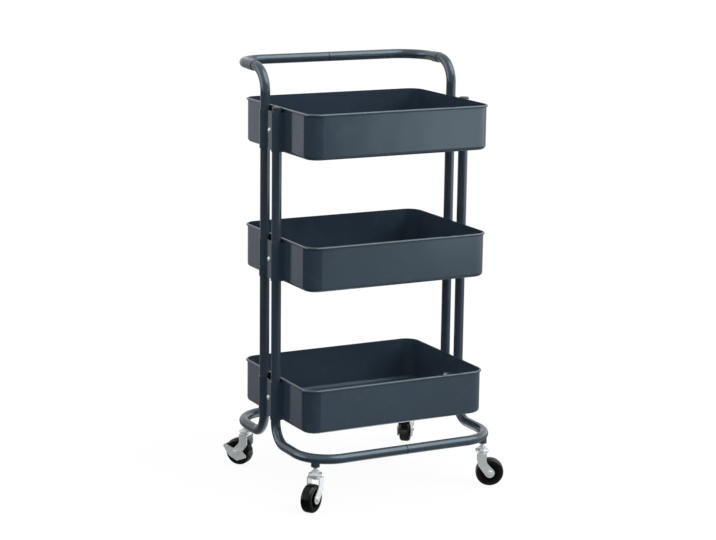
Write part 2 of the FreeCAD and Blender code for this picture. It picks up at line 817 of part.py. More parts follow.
def caster_stem(label, corner):
    """The fixed stem: threaded shank, hexagon, upper race, and the kingpin riveted below."""
    body = new_body(label)
    kingpin = size("kingpin_diameter") / 2
    head = size("kingpin_head_diameter") / 2
    race = size("race_diameter") / 2
    head_top = CROWN_UNDERSIDE - size("swivel_gap")
    head_bottom = head_top - size("kingpin_head_height")
    sketch = new_sketch(body, label + "_half", ORIGIN, X_AXIS, -Y_AXIS)
    profile = [
        (0, head_bottom),
        (head, head_bottom),
        (head, head_top),
        (kingpin, head_top),
        (kingpin, RACE_BOTTOM),
        (race, RACE_BOTTOM),
        (race, RACE_TOP),
        (STEM_RADIUS, RACE_TOP),
        (STEM_RADIUS, BAR_Z),
        (0, BAR_Z),
    ]
    add_outline(sketch, profile)
    add_revolution(body, sketch, "V_Axis")
    edge_radius = race.number - NEAR

    def race_edge(edge):
        box = edge.BoundBox
        return box.XMax > edge_radius and abs(box.ZMin - RACE_TOP.number) < NEAR and box.ZLength < NEAR

    add_fillet(body, label + "_race_round", size("race_round"), race_edge)
    hexagon = new_sketch(body, label + "_hexagon", (0, 0, RACE_TOP))
    add_hexagon(hexagon, size("stem_flats"))
    add_pad(body, hexagon, size("stem_hexagon_height"))
    body.Placement = caster_placement(corner)


def caster_fork(label, corner):
    """A stamped fork: crown with a pressed race, and arms that end in axle eyes."""
    body = new_body(label)
    half = size("fork_crown_length") / 2
    eye = size("fork_eye_diameter") / 2
    knee_front = AXLE_Z + size("fork_knee_front")
    knee_rear = AXLE_Z + size("fork_knee_rear")
    sketch = new_sketch(body, label + "_side", (0, FORK_OUTER, 0), X_AXIS, -Y_AXIS)
    top_rear = FreeCAD.Vector(-half.number, CROWN_TOP.number, 0)
    top_front = FreeCAD.Vector(half.number, CROWN_TOP.number, 0)
    bend_front = FreeCAD.Vector(half.number, knee_front.number, 0)
    bend_rear = FreeCAD.Vector(-half.number, knee_rear.number, 0)
    centre = FreeCAD.Vector(TRAIL.number, AXLE_Z.number, 0)

    def touch(point, sense):
        """Where the line from the point touches the eye, on the side that sense gives."""
        apart = point - centre
        angle = math.atan2(apart.y, apart.x) + sense * math.acos(eye.number / apart.Length)
        return angle, centre + FreeCAD.Vector(math.cos(angle), math.sin(angle), 0) * eye.number

    front_angle, front_touch = touch(bend_front, -1)
    rear_angle, rear_touch = touch(bend_rear, 1)
    crown = sketch.addGeometry(Part.LineSegment(top_rear, top_front), False)
    front = sketch.addGeometry(Part.LineSegment(top_front, bend_front), False)
    front_sweep = sketch.addGeometry(Part.LineSegment(bend_front, front_touch), False)
    circle = Part.Circle(centre, Z_AXIS, eye.number)
    round_end = sketch.addGeometry(
        Part.ArcOfCircle(circle, rear_angle - 2 * math.pi, front_angle), False
    )
    rear_sweep = sketch.addGeometry(Part.LineSegment(rear_touch, bend_rear), False)
    rear = sketch.addGeometry(Part.LineSegment(bend_rear, top_rear), False)
    constrain(sketch, "Coincident", crown, 2, front, 1)
    constrain(sketch, "Coincident", front, 2, front_sweep, 1)
    constrain(sketch, "Tangent", front_sweep, 2, round_end, 2)
    constrain(sketch, "Tangent", round_end, 1, rear_sweep, 1)
    constrain(sketch, "Coincident", rear_sweep, 2, rear, 1)
    constrain(sketch, "Coincident", rear, 2, crown, 1)
    dimension(sketch, "Radius", round_end, eye)
    place_point(sketch, round_end, 3, TRAIL, AXLE_Z)
    place_point(sketch, crown, 1, -half, CROWN_TOP)
    place_point(sketch, front, 1, half, CROWN_TOP)
    place_point(sketch, front_sweep, 1, half, knee_front)
    place_point(sketch, rear, 1, -half, knee_rear)
    add_pad(body, sketch, FORK_OUTER * 2)

    def at_knee(edge):
        middle = edge.BoundBox.Center
        front_knee = abs(middle.x - half.number) < NEAR and abs(middle.z - knee_front.number) < NEAR
        rear_knee = abs(middle.x + half.number) < NEAR and abs(middle.z - knee_rear.number) < NEAR
        return edge.BoundBox.YLength > NEAR and (front_knee or rear_knee)

    add_fillet(body, label + "_knees", size("fork_knee_round"), at_knee)

    slot = new_sketch(body, label + "_slot", (0, -FORK_INNER, 0), X_AXIS, -Y_AXIS)
    reach = TRAIL + eye * 2
    corners = [(-reach, 0), (reach, 0), (reach, CROWN_UNDERSIDE), (-reach, CROWN_UNDERSIDE)]
    add_outline(slot, corners)
    add_pocket(body, slot, FORK_INNER * 2)

    race = new_sketch(body, label + "_race", (0, 0, CROWN_UNDERSIDE))
    add_circle(race, 0, 0, size("fork_race_diameter") / 2)
    add_pad(body, race, FORK_RACE_TOP - CROWN_UNDERSIDE)

    kingpin = new_sketch(body, label + "_kingpin_hole", (0, 0, FORK_RACE_TOP))
    add_circle(kingpin, 0, 0, size("kingpin_diameter") / 2 + SLIP)
    add_pocket(body, kingpin, FORK_RACE_TOP - CROWN_UNDERSIDE + size("fork_crown_sheet"))

    eyes = new_sketch(body, label + "_eyes", (0, -FORK_OUTER, 0), X_AXIS, -Y_AXIS)
    add_circle(eyes, TRAIL, AXLE_Z, AXLE_RADIUS + SLIP)
    add_pocket(body, eyes, FORK_OUTER * 2)
    body.Placement = caster_placement(corner)


def caster_axle(label, corner, braked):
    """The axle: a plain pin with a head riveted outside each fork arm."""
    body = new_body(label)
    seat = FORK_OUTER + SLIP
    if braked:
        seat = FORK_OUTER + size("lever_sheet") + size("lever_side_gap") * 2
    head = size("axle_head_diameter") / 2
    end = seat + size("axle_head_height")
    sketch = new_sketch(body, label + "_half", (TRAIL, 0, AXLE_Z), Y_AXIS, X_AXIS)
    profile = [
        (-end, 0),
        (-end, head),
        (-seat, head),
        (-seat, AXLE_RADIUS),
        (seat, AXLE_RADIUS),
        (seat, head),
        (end, head),
        (end, 0),
    ]
    add_outline(sketch, profile)
    add_revolution(body, sketch, "H_Axis")
    tip = end.number - NEAR

    def head_rim(edge):
        return edge.BoundBox.YMin > tip or edge.BoundBox.YMax < -tip

    add_fillet(body, label + "_head_round", size("axle_head_height") * AXLE_HEAD_ROUND, head_rim)
    body.Placement = caster_placement(corner)


def wheel_hub(label, corner):
    """The wheel's core: barrel on the axle, web and rim."""
    body = new_body(label)
    bore = AXLE_RADIUS + SLIP
    barrel = size("hub_barrel_diameter") / 2
    rim = WHEEL_RADIUS - size("tread_thickness")
    inner_rim = rim - size("hub_rim_thickness")
    rim_half = size("wheel_width") / 2 - size("hub_rim_inset")
    web = size("hub_web") / 2
    sketch = new_sketch(body, label + "_half", (TRAIL, 0, AXLE_Z), Y_AXIS, X_AXIS)
    profile = [
        (-HUB_HALF, bore),
        (-HUB_HALF, barrel),
        (-web, barrel),
        (-web, inner_rim),
        (-rim_half, inner_rim),
        (-rim_half, rim),
        (rim_half, rim),
        (rim_half, inner_rim),
        (web, inner_rim),
        (web, barrel),
        (HUB_HALF, barrel),
        (HUB_HALF, bore),
    ]
    add_outline(sketch, profile)
    add_revolution(body, sketch, "H_Axis")
    body.Placement = caster_placement(corner)


def wheel_tread(label, corner):
    """The tyre: round shoulders and two shallow grooves that leave three ribs."""
    body = new_body(label)
    outer = WHEEL_RADIUS
    groove = WHEEL_RADIUS - size("tread_groove_depth")
    inner = WHEEL_RADIUS - size("tread_thickness")
    half = size("wheel_width") / 2
    near = (size("tread_groove_spacing") - size("tread_groove_width")) / 2
    far = (size("tread_groove_spacing") + size("tread_groove_width")) / 2
    sketch = new_sketch(body, label + "_half", (TRAIL, 0, AXLE_Z), Y_AXIS, X_AXIS)
    profile = [
        (-half, inner),
        (-half, outer),
        (-far, outer),
        (-far, groove),
        (-near, groove),
        (-near, outer),
        (near, outer),
        (near, groove),
        (far, groove),
        (far, outer),
        (half, outer),
        (half, inner),
    ]
    add_outline(sketch, profile)
    add_revolution(body, sketch, "H_Axis")
    limit = half.number - NEAR

    def shoulder(edge):
        box = edge.BoundBox
        outside = box.YMin > limit or box.YMax < -limit
        return outside and box.ZLength > outer.number * 2 - NEAR

    add_fillet(body, label + "_shoulders", size("tread_shoulder"), shoulder)
    body.Placement = caster_placement(corner)


def brake_lever(label, corner):
    """A stamped rocker on the axle: two cheeks joined by a pedal behind the tread."""
    body = new_body(label)
    inside = FORK_OUTER + size("lever_side_gap")
    outside = inside + size("lever_sheet")
    reach = size("lever_tip_reach")
    rise = math.radians(size("lever_tip_angle").number)
    spread = math.radians(size("lever_spread_angle").number)
    keel = size("lever_keel")
    heel = size("lever_heel")
    sketch = new_sketch(body, label + "_side", (TRAIL, outside, AXLE_Z), X_AXIS, -Y_AXIS)
    profile = [
        (reach * math.cos(rise + spread), reach * math.sin(rise + spread)),
        (keel * 0.5, keel * 0.55),
        (-heel * 0.5, keel * 0.4),
        (-heel, -keel * 0.2),
        (-heel, -keel * 0.5),
        (-heel * 0.1, -keel),
        (keel, -keel * 0.45),
        (reach * math.cos(rise), reach * math.sin(rise)),
    ]
    add_outline(sketch, profile)
    add_pad(body, sketch, outside * 2)
    add_fillet(
        body,
        label + "_round",
        size("lever_round"),
        lambda edge: edge.BoundBox.YLength > (outside * 2).number - NEAR,
    )
    clear = new_sketch(body, label + "_inside", (TRAIL, -inside, AXLE_Z), X_AXIS, -Y_AXIS)
    add_circle(clear, 0, 0, WHEEL_RADIUS + size("lever_tread_gap"))
    add_pocket(body, clear, inside * 2)
    eyes = new_sketch(body, label + "_eyes", (TRAIL, -outside, AXLE_Z), X_AXIS, -Y_AXIS)
    add_circle(eyes, 0, 0, AXLE_RADIUS + SLIP)
    add_pocket(body, eyes, outside * 2)
    body.Placement = caster_placement(corner)


# The whole cart

SIDES = {"left": -1, "right": 1}
ENDS = {"front": -1, "rear": 1}
RIMS = {"upper": RIM_UPPER, "middle": size("rim_middle"), "lower": size("rim_lower")}
BRAKED_END = "rear"

for side_name, side in SIDES.items():
    front_frame_tube("front_frame_tube_" + side_name, side)
    rear_frame_tube("rear_frame_tube_" + side_name, side)
    handle_half("handle_half_" + side_name, side)
    post_cap("post_cap_" + side_name, side)

joint_sleeve("front_bar_sleeve", -bar_reach(-1), BAR_Z)
joint_sleeve("rear_bar_sleeve", bar_reach(1), BAR_Z)
joint_sleeve("handle_sleeve", size("handle_reach"), size("handle_height"))

for tier, rim in RIMS.items():
    tray_shell("%s_tray" % tier, rim)
    mesh_floor("%s_mesh_floor" % tier, rim)
    for side_name, side in SIDES.items():
        clamp_plate("%s_clamp_%s" % (tier, side_name), side, rim)

fastener_group("clamp_screws", screw_master())
fastener_group("clamp_nuts", nut_master())

for end_name, end in ENDS.items():
    for side_name, side in SIDES.items():
        place = "%s_%s" % (end_name, side_name)
        corner = (side, end, size("heading_angle_" + place).number)
        caster_socket("caster_socket_" + place, corner)
        caster_stem("caster_stem_" + place, corner)
        caster_fork("caster_fork_" + place, corner)
        caster_axle("caster_axle_" + place, corner, end_name == BRAKED_END)
        wheel_hub("wheel_hub_" + place, corner)
        wheel_tread("wheel_tread_" + place, corner)
        if end_name == BRAKED_END:
            brake_lever("brake_lever_" + place, corner)

DOC.recompute()
for thing in DOC.Objects:
    if "Invalid" in thing.State or "Error" in thing.State:
        raise RuntimeError("%s failed: %s" % (thing.Label, thing.State))
for node in NODES:
    if node.Shape.isNull() or not node.Shape.isValid() or not node.Shape.Solids:
        raise RuntimeError(node.Label + " has no valid solid")

os.makedirs("parts", exist_ok=True)
for node in NODES:
    node.Shape.exportStep("parts/%s.step" % node.Label)
    print("%-28s %d solids %10.1f mm3" % (node.Label, len(node.Shape.Solids), node.Shape.Volume))
print("%d nodes" % len(NODES))
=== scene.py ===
import json
import math

import bmesh
import bpy
from mathutils import Matrix, Vector


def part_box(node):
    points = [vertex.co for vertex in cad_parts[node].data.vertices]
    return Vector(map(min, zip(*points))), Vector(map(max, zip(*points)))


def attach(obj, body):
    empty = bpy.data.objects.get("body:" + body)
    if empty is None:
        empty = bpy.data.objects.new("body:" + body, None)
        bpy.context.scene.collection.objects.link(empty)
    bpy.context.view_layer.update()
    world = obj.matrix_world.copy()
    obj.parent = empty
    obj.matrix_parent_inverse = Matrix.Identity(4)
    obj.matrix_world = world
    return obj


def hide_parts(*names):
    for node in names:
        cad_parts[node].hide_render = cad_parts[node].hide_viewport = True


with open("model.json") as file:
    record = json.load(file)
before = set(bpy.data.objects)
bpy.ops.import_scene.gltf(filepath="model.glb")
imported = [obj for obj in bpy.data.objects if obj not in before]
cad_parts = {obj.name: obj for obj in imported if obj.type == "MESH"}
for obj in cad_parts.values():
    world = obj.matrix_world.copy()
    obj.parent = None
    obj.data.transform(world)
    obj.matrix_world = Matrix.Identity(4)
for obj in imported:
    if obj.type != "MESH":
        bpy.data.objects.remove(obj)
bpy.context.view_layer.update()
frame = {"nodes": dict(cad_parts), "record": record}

scene = bpy.context.scene
cad_nodes = frame["nodes"]

CART = "cart"
TIERS = ("upper", "middle", "lower")
CORNERS = ("front_left", "front_right", "rear_left", "rear_right")

# The photograph's frame, and the camera that was solved from the trays' edges
IMAGE_WIDTH = 716
FOCAL_PIXELS = 2059.48
SENSOR_WIDTH = 36.0
CAMERA_SPOT = Vector((-1.9112, -3.6182, 1.3007))
CAMERA_YAW = math.radians(27.67)
CAMERA_PITCH = math.radians(-11.98)
CAMERA_ROLL = math.radians(0.74)

# Mesh floors, in metres; laps, insets and shares are plain factors
MESH_BORDER = 0.012
MESH_CORNER = 0.0198
MESH_CORNER_STEPS = 8
MESH_PITCH_ACROSS = 0.0094
MESH_PITCH_ALONG = 0.0052
STRAND_WIDTH = 0.0011
STRAND_SHARE = 0.9
CELL_LAP = 1.03
CELL_INSET = 1.2

# Clamp screws, in metres
SCREW_HEAD_RADIUS = 0.0055
SCREW_HEAD_HEIGHT = 0.0034
SCREW_SHANK_RADIUS = 0.0029
SCREW_SHANK_LENGTH = 0.021
RECESS_LENGTH = 0.0058
RECESS_WIDTH = 0.0013
RECESS_DEPTH = 0.0017
HEAD_SEGMENTS = 32
HEAD_RINGS = 24
SHANK_SIDES = 24

# Stem threads, in metres
THREAD_RADIUS = 0.0039
THREAD_RIDGE = 0.0005
THREAD_PITCH = 0.00125
THREAD_LENGTH = 0.0078
THREAD_STEPS = 36
RIDGE_SIDES = 4


class Link:
    """An output socket of a node tree; arithmetic with it adds Math nodes."""

    def __init__(self, board, socket):
        self.board = board
        self.socket = socket

    def __add__(self, other):
        return self.board.maths("ADD", self, other)

    def __radd__(self, other):
        return self.board.maths("ADD", other, self)

    def __sub__(self, other):
        return self.board.maths("SUBTRACT", self, other)

    def __rsub__(self, other):
        return self.board.maths("SUBTRACT", other, self)

    def __mul__(self, other):
        return self.board.maths("MULTIPLY", self, other)

    def __rmul__(self, other):
        return self.board.maths("MULTIPLY", other, self)

    def __truediv__(self, other):
        return self.board.maths("DIVIDE", self, other)

    def __rtruediv__(self, other):
        return self.board.maths("DIVIDE", other, self)


class Board:
    """A node tree that is filled by one method."""

    def __init__(self, tree):
        self.tree = tree

    def node(self, kind, settings=None, sockets=None, output=0):
        """Adds a node, sets it up, fills its sockets and gives the asked output."""
        made = self.tree.nodes.new(kind)
        for name, value in (settings or {}).items():
            if name == "stops":
                self.set_stops(made, value)
            else:
                setattr(made, name, value)
        for name, value in (sockets or {}).items():
            for each in value if isinstance(value, list) else [value]:
                if isinstance(each, Link):
                    self.tree.links.new(each.socket, made.inputs[name])
                else:
                    made.inputs[name].default_value = each
        return Link(self, made.outputs[output]) if made.outputs else None

    def set_stops(self, made, stops):
        elements = made.color_ramp.elements
        while len(elements) < len(stops):
            elements.new(1.0)
        for element, (place, level) in zip(elements, stops):
            element.position = place
            element.color = (level, level, level, 1.0)

    def maths(self, operation, *values):
        return self.node("ShaderNodeMath", {"operation": operation}, dict(enumerate(values)))

    def axis(self, vector, name):
        return self.node("ShaderNodeSeparateXYZ", {}, {0: vector}, output=name)

    def ramp(self, value, stops):
        """The level for a value, from stops of (value, level) in rising order."""
        first = stops[0][0]
        span = stops[-1][0] - first
        shares = [((place - first) / span, level) for place, level in stops]
        return self.node("ShaderNodeValToRGB", {"stops": shares}, {"Fac": (value - first) / span})


class Finish(Board):
    """A painted, plated or moulded surface."""

    def __init__(self, name):
        self.material = bpy.data.materials.new(name)
        self.material.use_nodes = True
        self.material.node_tree.nodes.clear()
        super().__init__(self.material.node_tree)
        self.place = self.node("ShaderNodeTexCoord", output="Object")

    def noise(self, scale, detail=2.0, rough=0.5, place=None):
        return self.node("ShaderNodeTexNoise", {}, {
            "Vector": place or self.place, "Scale": scale, "Detail": detail, "Roughness": rough,
        })

    def stretched(self, x, y, z):
        return self.node("ShaderNodeMapping", {}, {"Vector": self.place, "Scale": (x, y, z)})

    def tint(self, amount, first, second):
        sockets = {0: amount, 6: rgba(first), 7: rgba(second)}
        return self.node("ShaderNodeMix", {"data_type": "RGBA"}, sockets, output=2)

    def shades(self, amount, colour, dark, light):
        """A colour that varies between two shades of itself."""
        return self.tint(amount, scaled(colour, dark), scaled(colour, light))

    def bump(self, height, strength, distance, normal=None):
        sockets = {"Height": height, "Strength": strength, "Distance": distance}
        if normal is not None:
            sockets["Normal"] = normal
        return self.node("ShaderNodeBump", {}, sockets)

    def surface(self, **sockets):
        """Ends the material in one shader; sockets are named with _ for a space."""
        named = {name.replace("_", " "): value for name, value in sockets.items()}
        return self.close(self.node("ShaderNodeBsdfPrincipled", {}, named))

    def close(self, shader):
        self.node("ShaderNodeOutputMaterial", {}, {"Surface": shader})
        return self.material


def rgba(colour):
    return colour if isinstance(colour, Link) else (*colour, 1.0)


def srgb(red, green, blue):
    """A screen colour, 0 to 255, as the linear numbers that a shader takes."""
    return tuple(
        level / 12.92 if level <= 0.04045 else ((level + 0.055) / 1.055) ** 2.4
        for level in (red / 255, green / 255, blue / 255)
    )


def scaled(colour, factor):
    return tuple(min(1.0, level * factor) for level in colour)


# Finishes

FRAME_COLOUR = srgb(54, 65, 77)
TRAY_COLOUR = srgb(54, 67, 81)
CAP_COLOUR = srgb(40, 46, 54)
CORE_COLOUR = srgb(12, 12, 13)
TYRE_COLOUR = srgb(9, 9, 10)
ZINC_COLOUR = (0.78, 0.83, 0.84)
# Near-black for the seam sleeves: painted shade, standing in for the shadow in the seams
SEAM_SHADE_COLOUR = (0.03, 0.03, 0.035)
DUST_COLOUR = srgb(150, 152, 156)
SCUFF_COLOUR = srgb(96, 94, 92)
SHEEN = (0.7, 0.9, 1.0, 1.0)

# Noise levels at which patches begin and are full, and the middle of a noise
DUST_PATCHES = ((0.56, 0.0), (0.78, 1.0))
DULL_MARKS = ((0.55, 0.0), (0.72, 1.0))
SCUFFS = ((0.5, 0.0), (0.7, 1.0))
NOISE_MIDDLE = 0.5

# Enamel: its clear coat, and what cloudiness and dust take from its gloss
COAT_WEIGHT = 0.15
COAT_ROUGHNESS = 0.08
CLOUD_DULLING = 0.06
DUST_DULLING = 0.05
DUST_VEIL = 0.05
SETTLED_DULLING = 0.45
SPECK_SHARE = 0.2

# Settled dust: metres above the mesh floors, and how far a surface faces up
FLOOR_HEIGHTS = [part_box(tier + "_mesh_floor")[0].z for tier in TIERS]
DUST_BAND = ((-0.003, 0.0), (-0.0016, 1.0), (0.008, 1.0), (0.013, 0.0))
DUST_SLOPE = ((0.04, 0.0), (0.2, 1.0))

# Roughness of the other finishes, and what their marks add to it
ZINC_ROUGHNESS = 0.3
ZINC_LINE_DULLING = 0.12
ZINC_MARK_DULLING = 0.14
ZINC_MARK_VEIL = 0.25
ZINC_MARK_SHADE = 0.72
TYRE_ROUGHNESS = 0.12
TYRE_SCUFF_DULLING = 0.24
TYRE_GRAIN_DULLING = 0.08
TYRE_SCUFF_VEIL = 0.03
HAZE_DULLING = 0.14
STEEL_ROUGHNESS = 0.44
STEEL_LINE_DULLING = 0.16


def settled_dust(coat, floors):
    """1 on what faces up just above these heights: the inner base edge of a tray."""
    facing = coat.node("ShaderNodeNewGeometry", output="Normal")
    height = coat.axis(coat.place, "Z")
    bands = [coat.ramp(height - floor, DUST_BAND) for floor in floors]
    return sum(bands) * coat.ramp(coat.axis(facing, "Z"), DUST_SLOPE)


def powder_coat(name, colour, gloss, shine, floors=None):
    """Blue-grey stoving enamel: faint cloudiness, wavy sheet, fine orange peel, a little dust."""
    coat = Finish(name)
    settled = settled_dust(coat, floors) if floors else 0.0
    cloud = coat.noise(scale=9.0, detail=3.0)
    wave = coat.noise(scale=11.0, detail=1.0, rough=0.4)
    peel = coat.noise(scale=420.0, rough=0.4)
    speck = coat.noise(scale=2600.0, detail=1.0)
    dust = coat.ramp(coat.noise(scale=34.0, detail=6.0, rough=0.62), DUST_PATCHES)
    body = coat.shades(cloud, colour, dark=0.9, light=1.1)
    dulling = (cloud - NOISE_MIDDLE) * CLOUD_DULLING + dust * DUST_DULLING
    wavy = coat.bump(wave, strength=0.2, distance=0.004)
    return coat.surface(
        Base_Color=coat.tint(dust * DUST_VEIL, body, DUST_COLOUR),
        Roughness=gloss + dulling + settled * SETTLED_DULLING,
        Normal=coat.bump(peel + speck * SPECK_SHARE, strength=0.1, distance=0.00025, normal=wavy),
        Specular_IOR_Level=shine,
        Specular_Tint=SHEEN,
        Coat_Weight=COAT_WEIGHT - settled * COAT_WEIGHT,
        Coat_Roughness=COAT_ROUGHNESS,
    )


def zinc_plate(name, colour):
    """Bright zinc: faint drawn lines, cloudy passivation, a few dull marks."""
    plate = Finish(name)
    cloud = plate.noise(scale=45.0, detail=4.0, rough=0.6)
    drawn = plate.noise(scale=900.0, place=plate.stretched(1.0, 1.0, 0.06))
    dull = plate.ramp(plate.noise(scale=130.0, detail=3.0, rough=0.6), DULL_MARKS)
    body = plate.shades(cloud, colour, dark=0.9, light=1.06)
    return plate.surface(
        Base_Color=plate.tint(dull * ZINC_MARK_VEIL, body, scaled(colour, ZINC_MARK_SHADE)),
        Metallic=0.45,
        Roughness=ZINC_ROUGHNESS + drawn * ZINC_LINE_DULLING + dull * ZINC_MARK_DULLING,
        Normal=plate.bump(drawn, strength=0.12, distance=0.0001),
    )


def wheel_rubber(name, colour):
    """Black tyre: glossy moulded rubber, dulled and greyed in patches by rolling."""
    tyre = Finish(name)
    grain = tyre.noise(scale=1500.0)
    scuff = tyre.ramp(tyre.noise(scale=160.0, detail=5.0, rough=0.65), SCUFFS)
    dulling = scuff * TYRE_SCUFF_DULLING + (grain - NOISE_MIDDLE) * TYRE_GRAIN_DULLING
    return tyre.surface(
        Base_Color=tyre.tint(scuff * TYRE_SCUFF_VEIL, colour, SCUFF_COLOUR),
        Roughness=TYRE_ROUGHNESS + dulling,
        Normal=tyre.bump(grain, strength=0.15, distance=0.0002),
        Specular_IOR_Level=0.26,
    )


def moulded_plastic(name, colour, gloss, shine):
    """Glossy moulded plastic with a fine grain and a little haze."""
    plastic = Finish(name)
    grain = plastic.noise(scale=1900.0, detail=1.0)
    haze = plastic.noise(scale=60.0, detail=4.0, rough=0.6)
    return plastic.surface(
        Base_Color=plastic.shades(haze, colour, dark=0.85, light=1.25),
        Roughness=gloss + (haze - NOISE_MIDDLE) * HAZE_DULLING,
        Normal=plastic.bump(grain, strength=0.1, distance=0.00015),
        Specular_IOR_Level=shine,
    )


def plain_steel(name, colour):
    """Near-black steel, darkened as painted shade for the shadow in the seams: the sleeves that
    show as a thin line there.
    """
    steel = Finish(name)
    drawn = steel.noise(scale=700.0, detail=3.0, place=steel.stretched(0.05, 1.0, 1.0))
    stain = steel.noise(scale=50.0, detail=4.0, rough=0.6)
    return steel.surface(
        Base_Color=steel.shades(stain, colour, dark=0.75, light=1.1),
        Metallic=0.4,
        Roughness=STEEL_ROUGHNESS + drawn * STEEL_LINE_DULLING,
        Normal=steel.bump(drawn, strength=0.15, distance=0.0001),
    )


FINISHES = {
    "frame_paint": powder_coat("frame_enamel", FRAME_COLOUR, gloss=0.19, shine=0.7),
    "tray_paint": powder_coat(
        "tray_enamel", TRAY_COLOUR, gloss=0.12, shine=0.8, floors=FLOOR_HEIGHTS
    ),
    "zinc_plate": zinc_plate("bright_zinc", ZINC_COLOUR),
    "plain_steel": plain_steel("blued_steel", SEAM_SHADE_COLOUR),
    "black_plastic": moulded_plastic("cap_plastic", CAP_COLOUR, gloss=0.3, shine=0.5),
    "wheel_core": moulded_plastic("wheel_core_plastic", CORE_COLOUR, gloss=0.26, shine=0.15),
    "wheel_tread": wheel_rubber("tyre_rubber", TYRE_COLOUR),
}

for subpart in frame["record"]["subparts"]:
    node = cad_nodes[subpart["node"]]
    node.data.materials.clear()
    node.data.materials.append(FINISHES[subpart["material_slot"]])


# Geometry trees


class Maker(Board):
    """A geometry tree with named inputs for its sizes and a set of spots to work from."""

    def __init__(self, name, sizes):
        super().__init__(bpy.data.node_groups.new(name, "GeometryNodeTree"))
        self.add_socket("Spots", "INPUT", "Geometry")
        self.sockets = {label: self.add_socket(label, "INPUT", "Float") for label in sizes}
        self.sockets["Finish"] = self.add_socket("Finish", "INPUT", "Material")
        self.add_socket("Geometry", "OUTPUT", "Geometry")

    def add_socket(self, label, direction, kind):
        socket = self.tree.interface.new_socket(
            name=label, in_out=direction, socket_type="NodeSocket" + kind
        )
        return socket.identifier

    def size(self, label):
        return self.node("NodeGroupInput", output=label)

    def vector(self, x, y, z):
        return self.node("ShaderNodeCombineXYZ", {}, {0: x, 1: y, 2: z})

    def joined(self, *geometries):
        return self.node("GeometryNodeJoinGeometry", {}, {0: list(geometries)})

    def lifted(self, geometry, rise):
        return self.node("GeometryNodeTransform", {}, {
            "Geometry": geometry, "Translation": self.vector(0.0, 0.0, rise),
        })

    def swept(self, path, section, capped=False):
        """A section carried along a path, upright all the way."""
        upright = self.node("GeometryNodeSetCurveNormal", {"mode": "Z_UP"}, {"Curve": path})
        return self.node("GeometryNodeCurveToMesh", {}, {
            "Curve": upright, "Profile Curve": section, "Fill Caps": capped,
        })

    def close(self, geometry):
        """Realizes the copies, gives them their finish and ends the tree."""
        solid = self.node("GeometryNodeRealizeInstances", {}, {0: geometry})
        sockets = {"Geometry": solid, "Material": self.size("Finish")}
        finished = self.node("GeometryNodeSetMaterial", {}, sockets)
        self.node("NodeGroupOutput", {}, {0: finished})

    def piece(self, name, finish, spots=(), **sizes):
        """A plain mesh object made by the tree from these sizes."""
        plan = bpy.data.meshes.new(name + "_plan")
        plan.from_pydata(spots, [], [])
        holder = bpy.data.objects.new(name + "_plan", plan)
        scene.collection.objects.link(holder)
        modifier = holder.modifiers.new("maker", "NODES")
        modifier.node_group = self.tree
        modifier[self.sockets["Finish"]] = finish
        for label, value in sizes.items():
            modifier[self.sockets[label.replace("_", " ")]] = float(value)
        graph = bpy.context.evaluated_depsgraph_get()
        mesh = bpy.data.meshes.new_from_object(holder.evaluated_get(graph))
        mesh.name = name
        bpy.data.objects.remove(holder)
        made = bpy.data.objects.new(name, mesh)
        scene.collection.objects.link(made)
        return made


def expanded_mesh_maker():
    """A floor panel: a flat border, and diamond rings side by side inside it."""
    sizes = (
        "length", "depth", "thickness", "border", "corner",
        "pitch across", "pitch along", "strand", "height",
    )
    maker = Maker("expanded_mesh", sizes)
    length, depth, thickness, border, corner, across, along, strand, height = map(
        maker.size, sizes
    )

    def rectangle(wide, deep):
        return maker.node("GeometryNodeCurvePrimitiveQuadrilateral", {}, {
            "Width": wide, "Height": deep,
        })

    def rounded(wide, deep, radius):
        return maker.node("GeometryNodeFilletCurve", {"mode": "POLY"}, {
            "Curve": rectangle(wide, deep), "Radius": radius, "Count": MESH_CORNER_STEPS,
        })

    def cells_in(reach, pitch):
        return maker.maths("FLOOR", (reach - border * CELL_INSET) / pitch)

    outer = rounded(length, depth, corner)
    inner = rounded(length - border * 2, depth - border * 2, corner - border)
    ring = maker.node("GeometryNodeFillCurve", {"mode": "TRIANGLES"}, {
        "Curve": maker.joined(outer, inner),
    })
    raised = maker.node("GeometryNodeExtrudeMesh", {}, {
        "Mesh": ring, "Offset": maker.vector(0.0, 0.0, 1.0),
        "Offset Scale": thickness, "Individual": False,
    })
    under = maker.node("GeometryNodeFlipFaces", {}, {"Mesh": ring})
    frame_ring = maker.joined(raised, under)

    half = along * CELL_LAP / 2
    diamond = maker.node("GeometryNodeCurvePrimitiveQuadrilateral", {"mode": "KITE"}, {
        "Width": across * CELL_LAP, "Bottom Height": half, "Top Height": half,
    })
    cell = maker.swept(diamond, rectangle(strand, thickness * STRAND_SHARE))
    columns = cells_in(length, across)
    rows = cells_in(depth, along)
    grid = maker.node("GeometryNodeMeshGrid", {}, {
        "Size X": (columns - 1) * across, "Size Y": (rows - 1) * along,
        "Vertices X": columns, "Vertices Y": rows,
    })
    cells = maker.node("GeometryNodeInstanceOnPoints", {}, {"Points": grid, "Instance": cell})
    panel = maker.joined(frame_ring, maker.lifted(cells, thickness / 2))
    maker.close(maker.lifted(panel, height))
    return maker


def dress_floors():
    """Puts the fine mesh floors in place of the plain panels."""
    maker = expanded_mesh_maker()
    for tier in TIERS:
        low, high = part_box(tier + "_mesh_floor")
        floor = maker.piece(
            tier + "_fine_mesh", FINISHES["tray_paint"],
            length=high.x - low.x, depth=high.y - low.y, thickness=high.z - low.z,
            border=MESH_BORDER, corner=MESH_CORNER, pitch_across=MESH_PITCH_ACROSS,
            pitch_along=MESH_PITCH_ALONG, strand=STRAND_WIDTH, height=low.z,
        )
        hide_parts(tier + "_mesh_floor")
        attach(floor, CART)


